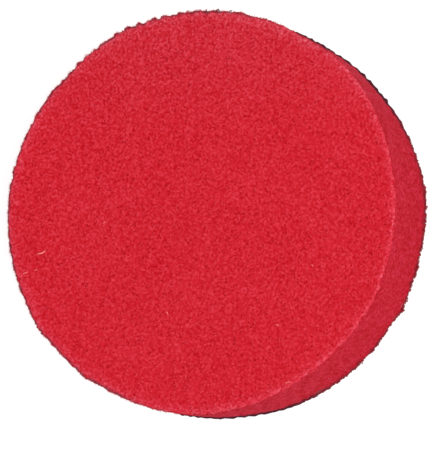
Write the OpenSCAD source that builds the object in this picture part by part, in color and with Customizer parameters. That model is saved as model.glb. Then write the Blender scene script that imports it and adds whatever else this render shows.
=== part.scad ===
// Round foam polishing pad with a hook-and-loop backing.
// The pad lies on its loops: z = 0 is the plane of the loop tips, and +Z points to the working face.

/* [Pad] */
// Diameter of the pad, which is cut straight through all its layers
pad_d = 90; // [75:1:160]
// Height of the whole pad, from the loop tips to the working face
pad_h = 25.5; // [15:0.5:50]
// Radius of the soft edge around the working face
face_edge_r = 0.8; // [0.2:0.1:3]

/* [Hook-and-loop backing] */
// Height of the loops that stand out of the cloth
pile_h = 1.4; // [0.8:0.1:3]
// How far the outermost loops stop short of the cut edge of the cloth
pile_inset = 0.3; // [0:0.1:2]
// Thickness of the knitted cloth that holds the loops
cloth_t = 0.5; // [0.3:0.1:1]
// Thickness of the hot-melt adhesive between the cloth and the foam
film_t = 0.3; // [0.1:0.05:0.6]

/* [Hidden] */
$fn = 180;

pad_r = pad_d / 2;
cloth_z = pile_h;
film_z = cloth_z + cloth_t;
foam_z = film_z + film_t;
foam_h = pad_h - foam_z;

// Half section of a disc with a square lower edge and a round upper edge, to turn about Z
module soft_edged_section(radius, height, edge_r) {
    square([radius, height - edge_r]);
    square([radius - edge_r, height]);
    translate([radius - edge_r, height - edge_r]) circle(r = edge_r);
}

// Block of open-cell polyurethane foam, which holds the polish and does the work
module foam_disc() {
    color("crimson")
        translate([0, 0, foam_z])
            rotate_extrude() soft_edged_section(pad_r, foam_h, face_edge_r);
}

// Film of adhesive that soaks a little into the foam and grips the cloth all over
module adhesive_film() {
    color("brown")
        translate([0, 0, film_z]) cylinder(r = pad_r, h = film_t);
}

// Knitted ground cloth, stretched flat on the adhesive
module backing_cloth() {
    color("firebrick")
        translate([0, 0, cloth_z]) cylinder(r = pad_r, h = cloth_t);
}

// Bed of fine loops that the hooks of a backing plate grip, as the solid they fill
module loop_pile() {
    color("darkred")
        cylinder(r = pad_r - pile_inset, h = pile_h);
}

foam_disc();
adhesive_film();
backing_cloth();
loop_pile();
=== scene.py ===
import math

import bpy
import numpy as np
from mathutils import Matrix, Vector
from mathutils.geometry import delaunay_2d_cdt


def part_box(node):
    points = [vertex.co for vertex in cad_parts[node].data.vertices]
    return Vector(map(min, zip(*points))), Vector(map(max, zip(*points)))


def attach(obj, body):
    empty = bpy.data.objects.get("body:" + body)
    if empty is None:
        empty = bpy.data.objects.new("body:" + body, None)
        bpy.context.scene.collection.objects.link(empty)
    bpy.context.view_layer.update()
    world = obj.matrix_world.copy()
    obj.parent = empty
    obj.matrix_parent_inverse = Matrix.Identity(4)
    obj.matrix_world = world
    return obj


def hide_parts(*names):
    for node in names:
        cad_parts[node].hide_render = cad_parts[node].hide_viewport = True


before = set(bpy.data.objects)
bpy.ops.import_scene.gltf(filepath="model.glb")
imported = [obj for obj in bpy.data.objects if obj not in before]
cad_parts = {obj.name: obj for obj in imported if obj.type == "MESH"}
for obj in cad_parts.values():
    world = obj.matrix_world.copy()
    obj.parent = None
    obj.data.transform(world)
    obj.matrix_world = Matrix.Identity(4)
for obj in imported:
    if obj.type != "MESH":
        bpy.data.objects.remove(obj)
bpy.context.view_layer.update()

# A round foam polishing pad: cut foam with open cells, a film of hot-melt, a knitted cloth and its
# loops. Everything is in metres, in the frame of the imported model: the pad stands on its loops at z = 0.

MM = 0.001
BODY = "root"

# ---------------------------------------------------------------- sizes read from the frame
FOAM_LOW, FOAM_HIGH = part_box("foam_disc")
FILM_LOW, FILM_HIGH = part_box("adhesive_film")
CLOTH_LOW, CLOTH_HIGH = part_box("backing_cloth")
PILE_LOW, PILE_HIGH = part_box("loop_pile")
PAD_R = FOAM_HIGH.x
PILE_R = PILE_HIGH.x

# ---------------------------------------------------------------- looks, in their own units
OVAL = 0.29 * MM            # how far the cut outline leaves a true circle, out and in
OVAL_AT = math.radians(-54)  # where round the pad it reaches furthest out
CELL = 0.72 * MM            # mean distance between neighbouring foam cells
CELL_DEPTH = 0.13 * MM      # how deep a usual cut cell is
DEEPEST = 0.42 * MM         # and how deep the deepest is
OPEN_CELLS = 0.6            # the share of the cells that the knife opened
STRUT_LIFT = 0.05 * MM      # how unevenly the walls between the cells stand out
FACE_EDGE_R = 0.8 * MM      # soft edge round the working face
CUT_EDGE_R = 0.15 * MM      # sharper edge at the back of the foam
EDGE_LINE = 0.45 * MM       # half the width of the painted highlight line along the face's edge
PALE_RIM = 1.4 * MM         # and the width of the paler rim inside it
WAVINESS = 0.02 * MM        # slow unevenness of the sawn face
RAGGED = 0.06 * MM          # how unevenly the knife left the foam's two edges
FLARE = 0.27 * MM           # how much larger the pad's radius is at its loops than at its face
PROUD = 0.49 * MM           # how far the cloth's edge stands out of the foam, except on the near side
OOZE = 0.12 * MM            # how unevenly the film's edge oozed out
RIB_APART = 1.6 * MM        # the knit's ribs
STITCH_APART = 1.2 * MM     # and the stitches along them
RIB_HEIGHT = 0.05 * MM
STRUTS = 7000               # torn foam struts that stand out of the cut edges, at most
STRUT_R = 0.045 * MM
STRUT_ROOT = 0.12 * MM      # how deep inside the foam a strut starts
LOOPS = 7200                # loops of the pile
EDGE_LOOPS = 6500           # and the smaller ones close to the cut
LOOP_YARN_R = 0.12 * MM
EDGE_YARN_R = 0.085 * MM    # the yarn is thinner where the cut has split it
GOLDEN_ANGLE = math.pi * (3 - math.sqrt(5))  # turning by this from one loop to the next spreads them evenly
NEAR_SIDE = math.radians(-90)   # the side of the pad that the photograph's camera sees
SHEEN_SIDE = math.radians(18)    # the side where a painted sheen makes the working face a little paler
COARSE_SIDE = math.radians(60)  # and the side where its cells are cut a little more roughly

# Where something sets in on the way round from the near side, which is 0, to the far side, which is 1.
LINE_ENDS = (0.50, 0.65)         # here the painted highlight along the face's edge fades out instead
PALE_RIM_BEGINS = (0.06, 0.30)
FACE_SHADE_BEGINS = (0.47, 0.56)
BACK_SHADE_BEGINS = (0.06, 0.20)
PROUD_BEGINS = (0.04, 0.18)
STRUTS_BEGIN = (0.17, 0.83)

# Places where the knife wandered: heading and half width in degrees, then how far out in mm, at the face
# and at the loops.
WANDERS = [
    (-14, 6, -0.30, -0.40),
    (-31, 14, 0.60, -0.72),
    (-66, 11, -0.15, 0.45),
    (-99, 4, 0.30, 0.55),
    (-104, 10, 0.20, -0.20),
    (-143, 8, 0.30, 0.00),
    (-155, 7, 0.25, -0.32),
    (-164, 14, 0.60, -0.12),
    (-182, 10, 0.10, 0.36),
    (162, 3, 0.40, 0.30),
    (142, 4, 0.40, 0.40),
    (110, 40, 0.18, 0.00),
    (80, 8, -0.20, -0.20),
    (64, 6, -0.50, -0.40),
    (42, 3, 0.40, 0.00),
]

# Places where the cut edges are more ragged: heading and half width in degrees, and how many times more.
RAGGED_PLACES = [
    (38, 50, 2.3),
    (-115, 22, 1.8),
]


# ---------------------------------------------------------------- meshes from arrays
def make_piece(name, points, faces, material, smooth=False, floats=None):
    """A mesh piece of triangles or quads from arrays, with float attributes for its material."""
    mesh = bpy.data.meshes.new(name)
    mesh.from_pydata(points.tolist(), [], [f if isinstance(f, list) else f.tolist() for f in faces])
    for key, values in (floats or {}).items():
        mesh.attributes.new(key, "FLOAT", "POINT").data.foreach_set("value", values.astype(np.float32))
    mesh.polygons.foreach_set("use_smooth", np.full(len(mesh.polygons), smooth))
    mesh.materials.append(material)
    mesh.update()
    piece = bpy.data.objects.new(name, mesh)
    bpy.context.scene.collection.objects.link(piece)
    return piece


class Waves:
    """Smooth random unevenness, about 1 strong: a sum of plane waves of nearly the wavelength asked for."""

    def __init__(self, rng, wavelength):
        count = 24
        heading = rng.normal(size=(count, 3))
        heading /= np.linalg.norm(heading, axis=1)[:, None]
        self.k = heading * (2 * math.pi / (wavelength * rng.uniform(0.7, 1.5, count)))[:, None]
        self.phase = rng.uniform(0, 2 * math.pi, count)

    def at(self, points):
        return np.sin(points @ self.k.T + self.phase).sum(axis=1) * math.sqrt(2 / len(self.phase))


# ---------------------------------------------------------------- shares of the pad
def bell(distance, width):
    """1 at no distance, and next to nothing from two widths on."""
    return np.exp(-(distance / width) ** 2)


def ramp(distance, width):
    """0 up to no distance, and 1 from one width on."""
    return np.clip(distance / width, 0, 1)


def from_axis(points):
    return np.hypot(points[:, 0], points[:, 1])


def heading_of(points):
    return np.arctan2(points[..., 1], points[..., 0])


def turned_from(degrees, turn):
    """The shorter way round from a heading in degrees to others in radians, in radians."""
    return (turn - math.radians(degrees) + math.pi) % (2 * math.pi) - math.pi


def facing_away(turn, begins):
    """0 on the pad's near side and 1 on its far side, changing between the two places in begins."""
    low, high = begins
    return np.clip((0.5 - 0.5 * np.cos(turn - NEAR_SIDE) - low) / (high - low), 0, 1)


def towards(points, heading):
    """0 at the middle of the pad, and beyond it, to 1 at the rim on the side of that heading."""
    far = points[:, 0] * math.cos(heading) + points[:, 1] * math.sin(heading)
    return np.clip(far / PAD_R, 0, 1)


def painted_edge_shade(points):
    """The share of painted shade on the layers of the back: the cut edge of them all, except on the near
    side.
    """
    inside = PAD_R - from_axis(points)
    return facing_away(heading_of(points), BACK_SHADE_BEGINS) * np.clip(1.4 - inside / MM, 0, 1)


def raggedness(turn):
    """How ragged the cut edges are at a heading, where 1 is usual."""
    times = np.ones_like(turn)
    for heading, half, more in RAGGED_PLACES:
        times = times + more * bell(turned_from(heading, turn), math.radians(half))
    return times


def cut_outline(points):
    """Moves places on a true round pad onto the real outline: oval, flared at the back, and uneven."""
    turn = heading_of(points)
    back = np.clip(1 - points[..., 2] / FOAM_HIGH.z, 0, 1) ** 2
    out = OVAL * np.cos(2 * (turn - OVAL_AT)) + FLARE * back
    for heading, half, at_face, at_loops in WANDERS:
        here = bell(turned_from(heading, turn), math.radians(half))
        out = out + here * (at_face + (at_loops - at_face) * back) * MM
    grow = 1 + out / PAD_R
    return points * np.stack([grow, grow, np.ones_like(grow)], axis=-1)


def ragged_out(places):
    """How far the knife's teeth and notches reach out of the foam's edges, at places on the true skin."""
    rng = np.random.default_rng(18)
    teeth = 0.9 * Waves(rng, 2.3 * MM).at(places) + 0.45 * Waves(rng, 1.2 * MM).at(places)
    return RAGGED * teeth * raggedness(heading_of(places))


# ---------------------------------------------------------------- skins of revolution
class Profile:
    """The half section of a round skin: from the middle of its face, over the rim, to a margin behind.

    The skin maps onto a plane without changing the shape of small figures. So a Delaunay net of places
    scattered in the plane is just as good on the face, round the edge and down the side.

    r and z are places along the section, s is how far along it each lies, flat is its distance from the
    middle in the plane, and nr and nz are the way out of the skin.
    """

    def __init__(self, radius, height, front_r, back_r, margin):
        face_steps, edge_steps = 400, 40
        face = np.linspace(0, radius - front_r, face_steps)
        turn = np.linspace(0, math.pi / 2, edge_steps)
        r = [face, radius - front_r + front_r * np.sin(turn[1:])]
        z = [np.zeros_like(face), -front_r + front_r * np.cos(turn[1:])]
        r.append(radius - back_r + back_r * np.cos(turn))
        z.append(-(height - back_r) - back_r * np.sin(turn))
        r.append([radius - back_r - margin])
        z.append([-height])
        self.r, self.z = np.concatenate(r), np.concatenate(z)
        step = np.hypot(np.diff(self.r), np.diff(self.z))
        self.s = np.concatenate([[0], np.cumsum(step)])
        after = step[len(face) - 1:] / ((self.r[len(face) - 1:-1] + self.r[len(face):]) / 2)
        log_far = math.log(face[-1]) + np.cumsum(after)
        self.flat = np.concatenate([face, np.exp(log_far)])
        slope_r, slope_z = np.gradient(self.r, self.s), np.gradient(self.z, self.s)
        self.nr, self.nz = -slope_z, slope_r

    def radius_at(self, s):
        return np.interp(s, self.s, self.r)

    def plane(self, s, angle):
        far = np.interp(s, self.s, self.flat)
        return np.stack([far * np.cos(angle), far * np.sin(angle)], axis=1)

    def solid(self, flat_points):
        """Places, outward directions and the way along the section, for points of the plane."""
        far = np.hypot(flat_points[:, 0], flat_points[:, 1])
        angle = np.arctan2(flat_points[:, 1], flat_points[:, 0])
        s = np.interp(far, self.flat, self.s)
        r, z = np.interp(s, self.s, self.r), np.interp(s, self.s, self.z)
        nr, nz = np.interp(s, self.s, self.nr), np.interp(s, self.s, self.nz)
        long = np.hypot(nr, nz)
        nr, nz = nr / long, nz / long
        place = np.stack([r * np.cos(angle), r * np.sin(angle), z], axis=1)
        out = np.stack([nr * np.cos(angle), nr * np.sin(angle), nz], axis=1)
        return place, out, s


def scatter(profile, spacing, rng, jitter):
    """Points of the plane, a spacing apart on the skin, and how many are in the clean ring at its end."""
    row_apart = 0.866 * spacing    # as in a net of equal triangles
    rows = max(3, round(profile.s[-1] / row_apart))
    found = [np.zeros((1, 2))]
    for row in range(1, rows + 1):
        s = profile.s[-1] * row / rows
        count = max(6, round(2 * math.pi * profile.radius_at(s) / spacing))
        loose = jitter if row < rows else 0.0
        turn = (np.arange(count) + rng.uniform() + loose * rng.uniform(-1, 1, count)) / count
        along = s + loose * spacing * rng.uniform(-1, 1, count)
        found.append(profile.plane(np.clip(along, 0.2 * spacing, profile.s[-1]), 2 * math.pi * turn))
    return np.concatenate(found), count


def triangulate(flat_points):
    """The Delaunay triangles of points in a plane, all turned the same way."""
    _, _, faces, *_ = delaunay_2d_cdt([Vector(p) for p in flat_points], [], [], 0, 1e-9, False)
    corners = np.array(faces)
    a, b, c = (flat_points[corners[:, i]] for i in range(3))
    turned = np.cross(b - a, c - a) < 0
    corners[turned] = corners[turned][:, ::-1]
    return corners


def cells_from(flat_points, corners):
    """A cell round every point: each edge between two triangles gives both its ends a facet that reaches
    the triangles' middles. Returns the plane's points, the cells' own first, and the facets."""
    count = len(flat_points)
    middles = flat_points[corners].mean(axis=1)
    starts, ends = corners.ravel(), np.roll(corners, -1, axis=1).ravel()
    owner = np.repeat(np.arange(len(corners)), 3)
    keys = starts.astype(np.int64) * count + ends
    order = np.argsort(keys)
    back = ends.astype(np.int64) * count + starts
    at = np.clip(np.searchsorted(keys[order], back), 0, len(keys) - 1)
    other = order[at]
    inside = keys[other] == back
    facets = np.stack([starts, count + owner[other], count + owner], axis=1)
    facets[~inside] = np.stack([starts, ends, count + owner], axis=1)[~inside]
    return np.concatenate([flat_points, middles]), facets


def mean_beside(values, facets):
    """For each vertex, the mean of the values at the vertices that share a facet with it."""
    total, count = np.zeros(len(values)), np.zeros(len(values))
    for here, there in ((0, 1), (0, 2), (1, 0), (1, 2), (2, 0), (2, 1)):
        total += np.bincount(facets[:, here], values[facets[:, there]], len(values))
        count += np.bincount(facets[:, here], minlength=len(values))
    return total / np.maximum(count, 1)


def close_back(points, faces, ring, z):
    """Adds the hidden flat face behind the skin: rings of quads, then a fan, from the last ring inwards."""
    rings = 3
    ring = ring[np.argsort(heading_of(points[ring]))]
    count, extra, out = len(ring), [], []
    last = ring
    for step in range(1, rings):
        inner = points[ring] * (1 - step / rings)
        inner[:, 2] = z
        names = len(points) + count * (step - 1) + np.arange(count)
        extra.append(inner)
        out += np.stack([np.roll(last, -1), last, names, np.roll(names, -1)], axis=1).tolist()
        last = names
    middle = len(points) + count * (rings - 1)
    extra.append(np.array([[0, 0, z]]))
    out += [[int(b), int(a), middle] for a, b in zip(last, np.roll(last, -1))]
    return np.concatenate([points, *extra]), faces.tolist() + out


# ---------------------------------------------------------------- materials
class Shader:
    """One node material, with short calls for the nodes that the materials here use."""

    def __init__(self, name, **values):
        self.material = bpy.data.materials.new(name)
        self.material.use_nodes = True
        self.tree = self.material.node_tree
        self.surface = self.tree.nodes["Principled BSDF"]
        for key, value in values.items():
            self.surface.inputs[key.replace("_", " ")].default_value = value

    def add(self, kind, inputs=None, **settings):
        made = self.tree.nodes.new(kind)
        for key, value in settings.items():
            setattr(made, key, value)
        for key, value in (inputs or {}).items():
            if isinstance(value, bpy.types.NodeSocket):
                self.tree.links.new(value, made.inputs[key])
            else:
                made.inputs[key].default_value = value
        return made

    def place(self):
        return self.add("ShaderNodeTexCoord").outputs["Object"]

    def noise(self, size, detail=2.0):
        """Noise whose blotches are about size across."""
        inputs = {"Vector": self.place(), "Scale": 0.5 / size, "Detail": detail, "Roughness": 0.5}
        return self.add("ShaderNodeTexNoise", inputs).outputs["Fac"]

    def cells(self, size):
        inputs = {"Vector": self.place(), "Scale": 1 / size}
        return self.add("ShaderNodeTexVoronoi", inputs, feature="F1").outputs["Distance"]

    def attribute(self, name):
        return self.add("ShaderNodeAttribute", attribute_name=name).outputs["Fac"]

    def span(self, value, low, high, to_low=0.0, to_high=1.0):
        inputs = {"Value": value, "From Min": low, "From Max": high, "To Min": to_low, "To Max": to_high}
        return self.add("ShaderNodeMapRange", inputs, clamp=True).outputs["Result"]

    def spread(self, noise, to_low=0.0, to_high=1.0):
        """A noise's usual range, 0.3 to 0.7, spread out between two values."""
        return self.span(noise, 0.3, 0.7, to_low, to_high)

    def sum(self, a, b):
        return self.add("ShaderNodeMath", {0: a, 1: b}, operation="ADD").outputs[0]

    def mix(self, share, a, b, blend="MIX"):
        inputs = {0: share, 6: a, 7: b}
        return self.add("ShaderNodeMix", inputs, data_type="RGBA", blend_type=blend).outputs[2]

    def times(self, colour, share):
        """The colour, multiplied by a share in each channel."""
        return self.mix(1.0, colour, tint(share), "MULTIPLY")

    def painted_edge_shade(self, colour):
        """The colour, and its version under painted shade where the dark attribute says so."""
        return self.mix(self.attribute("dark"), colour, self.times(colour, BACK_EDGE_SHADE))

    def bump(self, height, distance, strength):
        inputs = {"Height": height, "Distance": distance, "Strength": strength}
        return self.add("ShaderNodeBump", inputs).outputs["Normal"]

    def set(self, **links):
        for key, value in links.items():
            self.tree.links.new(value, self.surface.inputs[key.replace("_", " ")])
        return self.material


FACE_RED = (0.490, 0.0122, 0.0240)
# the face's foam, painted darker as shade on the side wall
SHADED_WALL_RED = (0.385, 0.0066, 0.0185)
PIT_SHADE_SHARE = (0.81, 0.20, 0.30)      # painted shade in a deep pit: its share of the red round it, in each channel
TIP_HIGHLIGHT_SHARE = (1.20, 2.90, 2.40)       # and a strut tip's painted highlight
RIM_HIGHLIGHT_SHARE = (1.13, 3.20, 2.80)       # the painted highlight along the face's edge, and the paler band inside it
SHEEN_SHARE = (0.98, 1.36, 1.24)     # a painted sheen on the paler side of the face
FAR_EDGE_SHADE = (0.20, 1.80, 1.55)      # painted shade along the foam's edges on the far side
BACK_EDGE_SHADE = (0.24, 1.20, 1.00)            # what the same painted shade leaves of the back layers' colours


def tint(red, share=(1, 1, 1)):
    """A colour for a node: a red with its channels scaled, and opaque."""
    return tuple(r * s for r, s in zip(red, share)) + (1.0,)


def foam_material():
    """Cut foam: the tone attribute runs from 0 in a deep pit, over 0.5, to 1 on a pale strut tip, so deep
    pits get painted shade and raised strut tips a painted highlight, over random tone.
    """
    look = Shader("foam_red", Specular_IOR_Level=0.04)
    tone, wall, rim = look.attribute("tone"), look.attribute("wall"), look.attribute("rim")
    painted_sheen, dark = look.attribute("painted_sheen"), look.attribute("dark")
    fine = look.noise(0.26 * MM)
    patch = look.noise(5 * MM)
    grain = look.span(fine, 0.25, 0.75, -0.27, 0.27)
    level = look.sum(tone, look.sum(grain, look.spread(patch, -0.03, 0.03)))

    def dyed(red):
        low = look.mix(look.span(level, 0.0, 0.5), tint(red, PIT_SHADE_SHARE), tint(red))
        return look.mix(look.span(level, 0.5, 1.0), low, tint(red, TIP_HIGHLIGHT_SHARE))

    # the side wall takes the darker red as painted shade
    colour = look.mix(wall, dyed(FACE_RED), dyed(SHADED_WALL_RED))
    # painted sheen toward one side of the working face
    colour = look.mix(painted_sheen, colour, look.times(colour, SHEEN_SHARE))
    # painted highlight along the face's edge, and a paler band inside it
    colour = look.mix(rim, colour, look.times(colour, RIM_HIGHLIGHT_SHARE))
    # painted shade along the foam's edges on the far side
    colour = look.mix(dark, colour, tint(FACE_RED, FAR_EDGE_SHADE))
    relief = look.sum(fine, look.cells(0.3 * MM))
    return look.set(Base_Color=colour, Roughness=look.spread(fine, 0.75, 0.95),
                    Normal=look.bump(relief, 0.05 * MM, 0.5))


def strut_material():
    look = Shader("torn_struts", Specular_IOR_Level=0.15)
    grain = look.noise(0.3 * MM)
    colour = look.mix(look.spread(grain), tint((0.36, 0.005, 0.012)), tint((0.50, 0.010, 0.022)))
    return look.set(Base_Color=colour, Roughness=look.spread(grain, 0.7, 0.9))


def film_material():
    look = Shader("hot_melt", Specular_IOR_Level=0.4)
    grain = look.noise(0.5 * MM, detail=3.0)
    cloudy = look.span(grain, 0.35, 0.65)
    colour = look.mix(cloudy, tint((0.28, 0.008, 0.016)), tint((0.36, 0.016, 0.026)))
    return look.set(Base_Color=look.painted_edge_shade(colour), Roughness=look.spread(grain, 0.3, 0.5),
                    Normal=look.bump(grain, 0.05 * MM, 0.7))


def knit_material():
    look = Shader("backing_knit", Specular_IOR_Level=0.2)
    thread = look.noise(0.12 * MM, detail=3.0)
    patch = look.noise(2.5 * MM)
    colour = look.mix(look.spread(thread), tint((0.24, 0.004, 0.012)), tint((0.36, 0.008, 0.022)))
    colour = look.mix(look.spread(patch, 0.0, 0.5), colour, tint((0.29, 0.006, 0.016)))
    return look.set(Base_Color=look.painted_edge_shade(colour), Roughness=look.spread(thread, 0.6, 0.9),
                    Normal=look.bump(thread, 0.05 * MM, 0.8))


def loop_material(name, dye):
    """The yarn's red, scaled by the dye, with painted shade where the dark attribute says so."""
    look = Shader(name, Specular_IOR_Level=0.25)
    fibre = look.noise(0.06 * MM)
    tuft = look.noise(1.5 * MM)
    share = (dye, dye, dye)
    low, middle, high = (0.17, 0.003, 0.011), (0.23, 0.005, 0.015), (0.33, 0.008, 0.022)
    colour = look.mix(look.spread(fibre), tint(low, share), tint(high, share))
    colour = look.mix(look.spread(tuft, 0.0, 0.6), colour, tint(middle, share))
    return look.set(Base_Color=look.painted_edge_shade(colour), Roughness=look.spread(fibre, 0.45, 0.7),
                    Normal=look.bump(fibre, 0.02 * MM, 0.7))


def fibre_material(name, low, high):
    look = Shader(name, Specular_IOR_Level=0.4)
    grain = look.noise(0.2 * MM)
    colour = look.mix(look.spread(grain), tint(low), tint(high))
    return look.set(Base_Color=colour, Roughness=look.spread(grain, 0.5, 0.7))


# ---------------------------------------------------------------- the foam
def foam_profile():
    back_margin = 1.2 * MM
    return Profile(PAD_R, FOAM_HIGH.z - FOAM_LOW.z, FACE_EDGE_R, CUT_EDGE_R, back_margin)


class FoamSkin:
    """The foam's skin: a pit at each cell's middle, and the walls between them. past_edge and past_back are
    how far each point is past the face's soft edge and the back's sharp one, along the section."""

    def __init__(self, rng):
        profile = foam_profile()
        seeds, ring_count = scatter(profile, CELL, rng, jitter=0.45)
        flat, self.facets = cells_from(seeds, triangulate(seeds))
        self.last_ring = np.arange(len(seeds) - ring_count, len(seeds))
        self.count = len(flat)
        self.is_pit = np.arange(self.count) < len(seeds)
        self.places, self.out, s = profile.solid(flat)
        self.turn = heading_of(self.places)
        flat_r = PAD_R - FACE_EDGE_R
        back_at = np.interp(CUT_EDGE_R - (FOAM_HIGH.z - FOAM_LOW.z), profile.z[::-1], profile.s[::-1])
        self.past_edge = s - (flat_r + FACE_EDGE_R * math.pi / 4)
        self.past_back = s - back_at
        self.near_edge = bell(self.past_edge, EDGE_LINE)
        self.wall = ramp(s - flat_r - FACE_EDGE_R * 1.3, 0.5 * MM)
        self.free = ramp(profile.s[-1] - s, 1.3 * MM)

    def cut(self, rng):
        """Sinks the pits, lifts the walls and roughens the edges. Returns the pits' depths and the walls'
        lifts, which are in STRUT_LIFT."""
        opened = np.where(rng.uniform(0, 1, self.count) < OPEN_CELLS, 1.0, 0.25)
        depth = np.minimum(CELL_DEPTH * rng.lognormal(0, 0.6, self.count) * opened, DEEPEST)
        lift = rng.normal(size=self.count)
        move = np.where(self.is_pit, -depth, STRUT_LIFT * lift) * (1 - 0.3 * self.near_edge)
        move += WAVINESS * Waves(rng, 9 * MM).at(self.places)
        near_rim = bell(self.past_edge - 0.3 * MM, 0.8 * MM)
        near_back = bell(self.past_back, 1.2 * MM)
        move += ragged_out(self.places) * np.clip(near_rim + 1.3 * near_back, 0, 1.3)
        self.places = self.places + self.out * (move * self.free)[:, None]
        return depth, lift

    def tone(self, rng, depth, lift):
        """From 0 in a deep pit to 1 on a pale strut tip, with faint streaks of the knife on the wall:
        painted shade that deepens with a pit's depth, a painted highlight on walls that stand out, and
        random tone.
        """
        # deeper pits get more painted shade, walls that stand out more painted highlight; the noise is
        # random tone
        tone = np.where(self.is_pit, 0.12 - 0.33 * depth / CELL_DEPTH, 0.04 + 0.20 * lift)
        tone += 0.14 * rng.normal(size=self.count)
        tone -= 0.3 * mean_beside(tone, self.facets)
        sideways = np.cos(self.turn) ** 2
        streaks = self.wall * (0.05 + 0.04 * sideways)
        tone += streaks * Waves(rng, 1.1 * MM).at(self.places * [1, 1, 0.15])
        coarse = 0.25 * towards(self.places, COARSE_SIDE) * (1 - self.wall)
        rough_wall = (1.5 + 0.8 * sideways) * self.wall
        return np.clip(0.5 + tone * (1 + rough_wall + coarse), 0, 1)

    def highlight_and_shade(self, rng):
        """The painted highlight along the face's edge with a paler band inside it, and painted shade on the
        cut edges of the far side, both unevenly strong.
        """
        beaded = 0.85 + 0.25 * Waves(rng, 1.6 * MM).at(self.places)
        beaded = np.clip(beaded + 0.1 * rng.normal(size=self.count), 0.3, 1.1)
        # the painted highlight along the face's edge, fading out toward the far side
        line = 0.85 * self.near_edge * (1 - facing_away(self.turn, LINE_ENDS))
        inner_rim = bell(self.past_edge, PALE_RIM) * (self.past_edge < 0)
        wide_rim = (0.23 + 0.42 * facing_away(self.turn, PALE_RIM_BEGINS)) * inner_rim
        rim = np.maximum(line, wide_rim) * beaded
        beaded *= np.clip(1 + 0.3 * Waves(rng, 1.0 * MM).at(self.places), 0, 1.3)
        # painted shade along the face's edge and the back's edge, on the far side
        face_side = 0.78 * facing_away(self.turn, FACE_SHADE_BEGINS)
        face_shade = face_side * ramp(self.past_edge + 0.48 * MM, 0.40 * MM)
        face_shade *= bell(np.maximum(self.past_edge - 0.3 * MM, 0), 0.7 * MM)
        back_side = 0.7 * facing_away(self.turn, BACK_SHADE_BEGINS)
        back_shade = back_side * bell(np.minimum(self.past_back, 0), 0.5 * MM)
        return rim, np.clip((face_shade + back_shade) * beaded, 0, 1)


def build_foam():
    """Cells with a pit in the middle of each, uneven in depth, and a surface that the cut left ragged."""
    rng = np.random.default_rng(11)
    skin = FoamSkin(rng)
    depth, lift = skin.cut(rng)
    looks = {"tone": skin.tone(rng, depth, lift), "wall": skin.wall}
    looks["rim"], looks["dark"] = skin.highlight_and_shade(rng)
    # painted sheen toward one side of the working face
    looks["painted_sheen"] = np.clip(2 * towards(skin.places, SHEEN_SIDE) - 0.8, 0, 1)
    places = cut_outline(skin.places + [0, 0, FOAM_HIGH.z])
    points, faces = close_back(places, skin.facets, skin.last_ring, FOAM_LOW.z)
    hidden = len(points) - len(places)
    floats = {name: np.pad(values, (0, hidden)) for name, values in looks.items()}
    floats["wall"][-hidden:] = 1.0
    foam = make_piece("foam_body", points, faces, foam_material(), smooth=True, floats=floats)
    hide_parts("foam_disc")
    return foam


def build_struts():
    """Torn struts that stand out of the foam's cut edges, most of them on the far side of the pad."""
    rng = np.random.default_rng(15)
    profile = foam_profile()
    tries = STRUTS * 3
    turn = rng.uniform(0, 2 * math.pi, tries)
    chance = 0.10 + 0.90 * facing_away(turn, STRUTS_BEGIN)
    kept = turn[rng.uniform(0, 1, tries) < chance * 0.55][:STRUTS]
    count = len(kept)
    rim_s = PAD_R - FACE_EDGE_R + FACE_EDGE_R * math.pi / 2
    along = rim_s + rng.uniform(-0.55, 0.75, count) * MM
    anywhere = rng.uniform(0, 1, count) < 0.12
    wall_end = profile.s[-1] - 1.6 * MM
    along[anywhere] = rng.uniform(rim_s, wall_end, count)[anywhere]
    root, out, _ = profile.solid(profile.plane(along, kept))
    root = root + out * ragged_out(root)[:, None]
    lean = rng.normal(size=(count, 3)) * 0.6
    reach = rng.uniform(0.15, 0.36, count) * MM
    t = np.linspace(0, 1, 4)[None, :, None]    # from a strut's root to its tip
    way = out + lean
    way /= np.linalg.norm(way, axis=1)[:, None]
    curl = rng.normal(size=(count, 3)) * 0.35
    lines = root[:, None] - STRUT_ROOT * out[:, None] + reach[:, None, None] * (way[:, None] * t)
    lines = lines + reach[:, None, None] * curl[:, None] * t ** 2 + STRUT_ROOT * out[:, None] * t
    thick = STRUT_R * np.array([1.0, 0.95, 0.8, 0.45])
    lines[:, :, 2] += FOAM_HIGH.z
    points, faces = tubes(cut_outline(lines), thick)
    struts = make_piece("torn_struts", points, faces, strut_material(), smooth=True)
    return struts


# Fibres caught on the working face: place, in pad radii, heading in degrees, length and thickness in mm.
PALE_STRAYS = [
    (-0.44, 0.72, -50, 2.2, 0.17),
    (-0.56, 0.77, -50, 1.3, 0.09),
    (-0.53, 0.72, -60, 0.9, 0.08),
    (-0.67, -0.71, -65, 1.4, 0.09),
    (-0.20, 0.45, -48, 0.7, 0.09),
    (-0.53, -0.01, 47, 0.8, 0.09),
    (-0.42, -0.57, 72, 0.8, 0.08),
    (-0.09, -0.65, 62, 0.6, 0.10),
    (0.95, -0.14, -13, 0.6, 0.08),
]
DARK_STRAYS = [
    (0.955, 0.275, -10, 1.1, 0.14),
    (0.950, 0.258, -32, 1.2, 0.12),
    (0.972, 0.221, -29, 1.1, 0.14),
    (0.976, 0.209, -130, 0.9, 0.15),
    (0.988, 0.151, -55, 1.0, 0.13),
]


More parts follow.
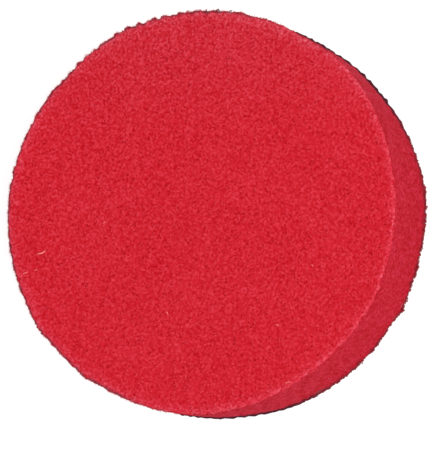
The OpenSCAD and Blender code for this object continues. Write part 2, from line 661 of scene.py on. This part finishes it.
def build_strays(name, strays, material, seed):
    """Slightly bent fibres that lie on the working face, thickest in the middle."""
    rng = np.random.default_rng(seed)
    every_point, every_face = [], []
    t = np.linspace(-0.5, 0.5, 9)    # from one end of a fibre to the other
    start = 0
    for x, y, heading, length, thick in strays:
        along = Vector((math.cos(math.radians(heading)), math.sin(math.radians(heading))))
        across = Vector((-along.y, along.x))
        bend = rng.uniform(0.03, 0.07) * length
        sideways = bend * np.cos(2 * math.pi * (t + rng.uniform())) * MM
        line = np.zeros((1, len(t), 3))
        line[0, :, 0] = x * PAD_R + along.x * t * length * MM + across.x * sideways
        line[0, :, 1] = y * PAD_R + along.y * t * length * MM + across.y * sideways
        line[0, :, 2] = FOAM_HIGH.z + thick * MM * (0.6 + 0.5 * np.cos(math.pi * t))
        radius = thick * MM * np.clip(1.25 - 1.6 * np.abs(t), 0.45, 1.0)
        points, faces = tubes(line, radius, sides=6)
        every_point.append(points)
        every_face += [[corner + start for corner in face] for face in faces]
        start += len(points)
    fibres = make_piece(name, np.concatenate(every_point), every_face, material, smooth=True)
    return fibres


# ---------------------------------------------------------------- film, cloth and loops
def build_film():
    """A thin disc whose edge oozed a little out of the layers, or stayed a little back."""
    rng = np.random.default_rng(12)
    thick = FILM_HIGH.z - FILM_LOW.z
    profile = Profile(PAD_R, thick, thick * 0.3, thick * 0.3, 3 * MM)
    seeds, ring_count = scatter(profile, 1.1 * MM, rng, jitter=0.2)
    points, out, _ = profile.solid(seeds)
    rim = ramp(from_axis(points) - PAD_R + 1.5 * MM, 1.5 * MM)
    oozed = OOZE * Waves(rng, 2.2 * MM).at(points) * rim
    points = points + out * oozed[:, None] * [1, 1, 0]
    points[:, 2] += FILM_HIGH.z
    points = cut_outline(points)
    faces = triangulate(seeds)
    ring = np.arange(len(seeds) - ring_count, len(seeds))
    points, faces = close_back(points, faces, ring, FILM_LOW.z)
    film = make_piece("hot_melt_film", points, faces, film_material(), smooth=True,
                      floats={"dark": painted_edge_shade(points)})
    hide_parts("adhesive_film")
    return film


def build_cloth():
    """The fine face is the lower one, with the knit's ribs, so the skin is built face up and turned over."""
    rng = np.random.default_rng(13)
    thick = CLOTH_HIGH.z - CLOTH_LOW.z
    profile = Profile(PAD_R, thick, thick * 0.35, thick * 0.2, 2 * MM)
    seeds, ring_count = scatter(profile, 0.52 * MM, rng, jitter=0.15)
    points, out, _ = profile.solid(seeds)
    across, along = points[:, 0] / RIB_APART, points[:, 1] / STITCH_APART
    stitches = 0.7 + 0.3 * np.cos(2 * math.pi * (along + 0.5 * np.floor(across)))
    ribs = np.cos(2 * math.pi * across) * stitches
    rim = ramp(from_axis(points) - PAD_R + 1 * MM, 1 * MM)
    turn = heading_of(points)
    proud = PROUD * facing_away(turn, PROUD_BEGINS)
    teeth = 0.07 + 0.02 * raggedness(turn)
    ragged = (teeth * MM * Waves(rng, 1.3 * MM).at(points) + proud) * rim
    points = points + out * (RIB_HEIGHT * ribs * (1 - rim))[:, None]
    points[:, :2] *= (1 + ragged / PAD_R)[:, None]
    points[:, 2] = CLOTH_LOW.z - points[:, 2]
    points = cut_outline(points)
    faces = triangulate(seeds)
    ring = np.arange(len(seeds) - ring_count, len(seeds))
    points, faces = close_back(points, faces, ring, CLOTH_HIGH.z)
    faces = [f[::-1] for f in faces]
    cloth = make_piece("backing_knit", points, faces, knit_material(), smooth=True,
                       floats={"dark": painted_edge_shade(points)})
    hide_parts("backing_cloth")
    return cloth


def tubes(lines, radius, sides=3):
    """Thin closed yarns along many lines at once: lines is (yarns, points, 3), and radius one number, or
    one for each point along a yarn."""
    yarns, steps, _ = lines.shape
    ahead = np.gradient(lines, axis=1)
    ahead /= np.linalg.norm(ahead, axis=2)[:, :, None] + 1e-12
    guide = np.zeros_like(ahead)
    guide[:, :, 0] = 1.0
    tilted = np.abs(ahead[:, :, 0]) > 0.8
    guide[tilted] = (0, 1, 0)
    side = np.cross(ahead, guide)
    side /= np.linalg.norm(side, axis=2)[:, :, None]
    for i in range(1, steps):
        side[:, i] = side[:, i - 1] - ahead[:, i] * (side[:, i - 1] * ahead[:, i]).sum(axis=1)[:, None]
        side[:, i] /= np.linalg.norm(side[:, i], axis=1)[:, None]
    other = np.cross(ahead, side)
    turn = 2 * math.pi * np.arange(sides) / sides
    ring = (side[:, :, None] * np.cos(turn)[:, None] + other[:, :, None] * np.sin(turn)[:, None])
    points = lines[:, :, None] + ring * np.broadcast_to(radius, (yarns, steps))[:, :, None, None]
    names = np.arange(yarns * steps * sides).reshape(yarns, steps, sides)
    near, far = names[:, :-1], names[:, 1:]
    quads = np.stack([near, np.roll(near, -1, axis=2), np.roll(far, -1, axis=2), far], axis=3)
    faces = quads.reshape(-1, 4).tolist()
    faces += names[:, 0, ::-1].tolist() + names[:, -1].tolist()
    return points.reshape(-1, 3), faces


def loop_lines(rng, root, lean, tall, gap, yarn_r):
    """Lines along loops that start and end in the cloth: root is (loops, 2), and lean how far each top is
    moved aside."""
    count = len(root)
    heading = rng.uniform(0, 2 * math.pi, count)
    ahead = np.stack([np.cos(heading), np.sin(heading)], axis=1)
    t = np.linspace(0, 1, 5)    # from where a loop leaves the cloth to where it comes back
    bow = np.sin(math.pi * t)
    belly = np.sin(2 * math.pi * t) * 0.16 * MM
    lines = np.zeros((count, len(t), 3))
    along = gap[:, None] * (t - 0.5) - belly
    lines[:, :, :2] = root[:, None] + ahead[:, None] * along[:, :, None] + lean[:, None] * bow[:, None]
    inside = 0.15 * MM    # how deep in the cloth a loop's two ends are
    lines[:, :, 2] = PILE_HIGH.z + inside - (tall + inside - yarn_r)[:, None] * bow ** 0.75
    return lines


def field_lines(rng, full):
    """The loops all over the back: spread evenly, each a little off its place and leaning its own way."""
    spread_r = PILE_R - 0.5 * MM
    apart = spread_r * math.sqrt(math.pi / LOOPS)
    order = np.arange(LOOPS) + 0.5
    radius = spread_r * np.sqrt(order / LOOPS) + apart * rng.uniform(-0.3, 0.3, LOOPS)
    angle = GOLDEN_ANGLE * order + apart * rng.uniform(-0.3, 0.3, LOOPS) / radius
    root = np.stack([radius * np.cos(angle), radius * np.sin(angle)], axis=1)
    lean = rng.normal(size=(LOOPS, 2)) * 0.3 * MM
    tall = full * np.clip(rng.normal(0.85, 0.15, LOOPS), 0.45, 1.0)
    gap = rng.uniform(0.45, 0.95, LOOPS) * MM
    return loop_lines(rng, root, lean, tall, gap, LOOP_YARN_R)


def edge_lines(rng, full):
    """The narrow loops along the cut, in uneven tufts that splay a little outwards."""
    angle = rng.uniform(0, 2 * math.pi, EDGE_LOOPS)
    outward = np.stack([np.cos(angle), np.sin(angle)], axis=1)
    tufted = Waves(rng, 1.6 * MM).at(np.pad(outward * PAD_R, ((0, 0), (0, 1)))) * 0.08 * MM
    tufted *= 0.5 + 0.5 * raggedness(angle)
    radius = PAD_R - rng.uniform(0.02, 0.6, EDGE_LOOPS) * MM + tufted
    splay = np.clip(rng.normal(0.08, 0.08, EDGE_LOOPS), -0.1, 0.35) * MM
    lean = outward * splay[:, None] + rng.normal(size=(EDGE_LOOPS, 2)) * 0.06 * MM
    tall = full * np.clip(rng.normal(0.9, 0.12, EDGE_LOOPS), 0.5, 1.0)
    gap = rng.uniform(0.1, 0.4, EDGE_LOOPS) * MM
    return loop_lines(rng, outward * radius[:, None], lean, tall, gap, EDGE_YARN_R)


def build_loops():
    """The bed of loops all over the back, and the many small ones that the cut left along its edge."""
    rng = np.random.default_rng(14)
    full = PILE_HIGH.z - PILE_LOW.z
    field, edge = field_lines(rng, full), edge_lines(rng, full)
    pieces = []
    made = (("loop_yarns", field, LOOP_YARN_R, 1.4), ("edge_loops", edge, EDGE_YARN_R, 1.2))
    for name, lines, yarn_r, dye in made:
        points, faces = tubes(cut_outline(lines), yarn_r)
        points[:, 2] = np.maximum(points[:, 2], PILE_LOW.z)
        floats = {"dark": painted_edge_shade(points)}
        loops = make_piece(name, points, faces, loop_material(name, dye), smooth=True, floats=floats)
        pieces.append(loops)
    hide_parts("loop_pile")
    return pieces


# ---------------------------------------------------------------- the studio
def build_floor():
    """A pale tabletop that glows a little, as a light table does, so that shadows stay faint."""
    look = Shader("studio_floor", Roughness=0.9, Specular_IOR_Level=0.0, Emission_Strength=0.35)
    look.surface.inputs["Emission Color"].default_value = (1, 1, 1, 1)
    cloud = look.noise(0.3, detail=1.0)
    look.set(Base_Color=look.mix(look.spread(cloud), tint((0.86, 0.86, 0.86)), tint((0.89, 0.89, 0.89))))
    half = 8.0    # so wide that its edges are far out of every view
    corners = np.array([[-half, -half, 0], [half, -half, 0], [half, half, 0], [-half, half, 0]])
    floor = make_piece("floor", corners, [[0, 1, 2, 3]], look.material)


# Soft round lamps: name, azimuth from the front and elevation in degrees, power in watts, size in metres.
LAMPS = [
    ("key", 0, 52, 9.0, 0.7),
    ("fill", 160, 60, 2.0, 0.9),
]
LAMP_DISTANCE = 1.2


def build_lights():
    world = bpy.data.worlds.new("studio")
    bpy.context.scene.world = world
    world.use_nodes = True
    background = world.node_tree.nodes["Background"]
    background.inputs["Color"].default_value = (1.0, 1.0, 1.0, 1)
    background.inputs["Strength"].default_value = 0.78
    aim = Vector((0, 0, FOAM_HIGH.z))
    for name, azimuth, elevation, power, size in LAMPS:
        light = bpy.data.lights.new(name, "AREA")
        light.shape = "DISK"
        light.size = size
        light.energy = power
        lamp = bpy.data.objects.new(name, light)
        round_z, up = math.radians(azimuth), math.radians(elevation)
        level = math.cos(up)
        away = Vector((math.sin(round_z) * level, -math.cos(round_z) * level, math.sin(up)))
        lamp.location = aim + away * LAMP_DISTANCE
        lamp.rotation_mode = "QUATERNION"
        lamp.rotation_quaternion = away.to_track_quat("Z", "Y")
        bpy.context.scene.collection.objects.link(lamp)


def build_camera():
    """Looks down on the working face, a little off its axis, and rolled, so that the side shows to the
    right and below."""
    off_axis, roll = math.radians(18.52), math.radians(-72.47)
    distance, lens = 0.7704, 273.6
    face_right, face_up = -4.46 * MM, 4.01 * MM    # the face's middle, seen from the picture's middle
    ahead = Vector((0, math.sin(off_axis), -math.cos(off_axis)))
    level_right = Vector((1, 0, 0))
    level_up = level_right.cross(ahead)
    right = level_right * math.cos(roll) + level_up * math.sin(roll)
    up = level_up * math.cos(roll) - level_right * math.sin(roll)
    middle = Vector((0, 0, FOAM_HIGH.z))
    data = bpy.data.cameras.new("camera")
    data.lens = lens
    data.sensor_width = 36
    data.clip_start, data.clip_end = 0.01, 50    # from just before the lens to past the floor's edges
    camera = bpy.data.objects.new("camera", data)
    turned = Matrix((right, up, -ahead)).transposed().to_4x4()
    camera.matrix_world = Matrix.Translation(
        middle - right * face_right - up * face_up - ahead * distance) @ turned
    bpy.context.scene.collection.objects.link(camera)
    bpy.context.scene.camera = camera


build_camera()
build_lights()
build_floor()
scene = bpy.context.scene
scene.view_settings.view_transform = "Standard"
scene.view_settings.look = "None"

foam = build_foam()
struts = build_struts()
pale_lint = fibre_material("pale_lint", (0.80, 0.14, 0.14), (0.95, 0.22, 0.21))
dark_lint = fibre_material("dark_lint", (0.06, 0.012, 0.014), (0.16, 0.012, 0.018))
pale_fibres = build_strays("pale_lint", PALE_STRAYS, pale_lint, 16)
dark_fibres = build_strays("dark_lint", DARK_STRAYS, dark_lint, 17)
film = build_film()
cloth = build_cloth()
loops, edge_loops = build_loops()
for piece in (foam, struts, pale_fibres, dark_fibres, film, cloth, loops, edge_loops):
    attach(piece, BODY)
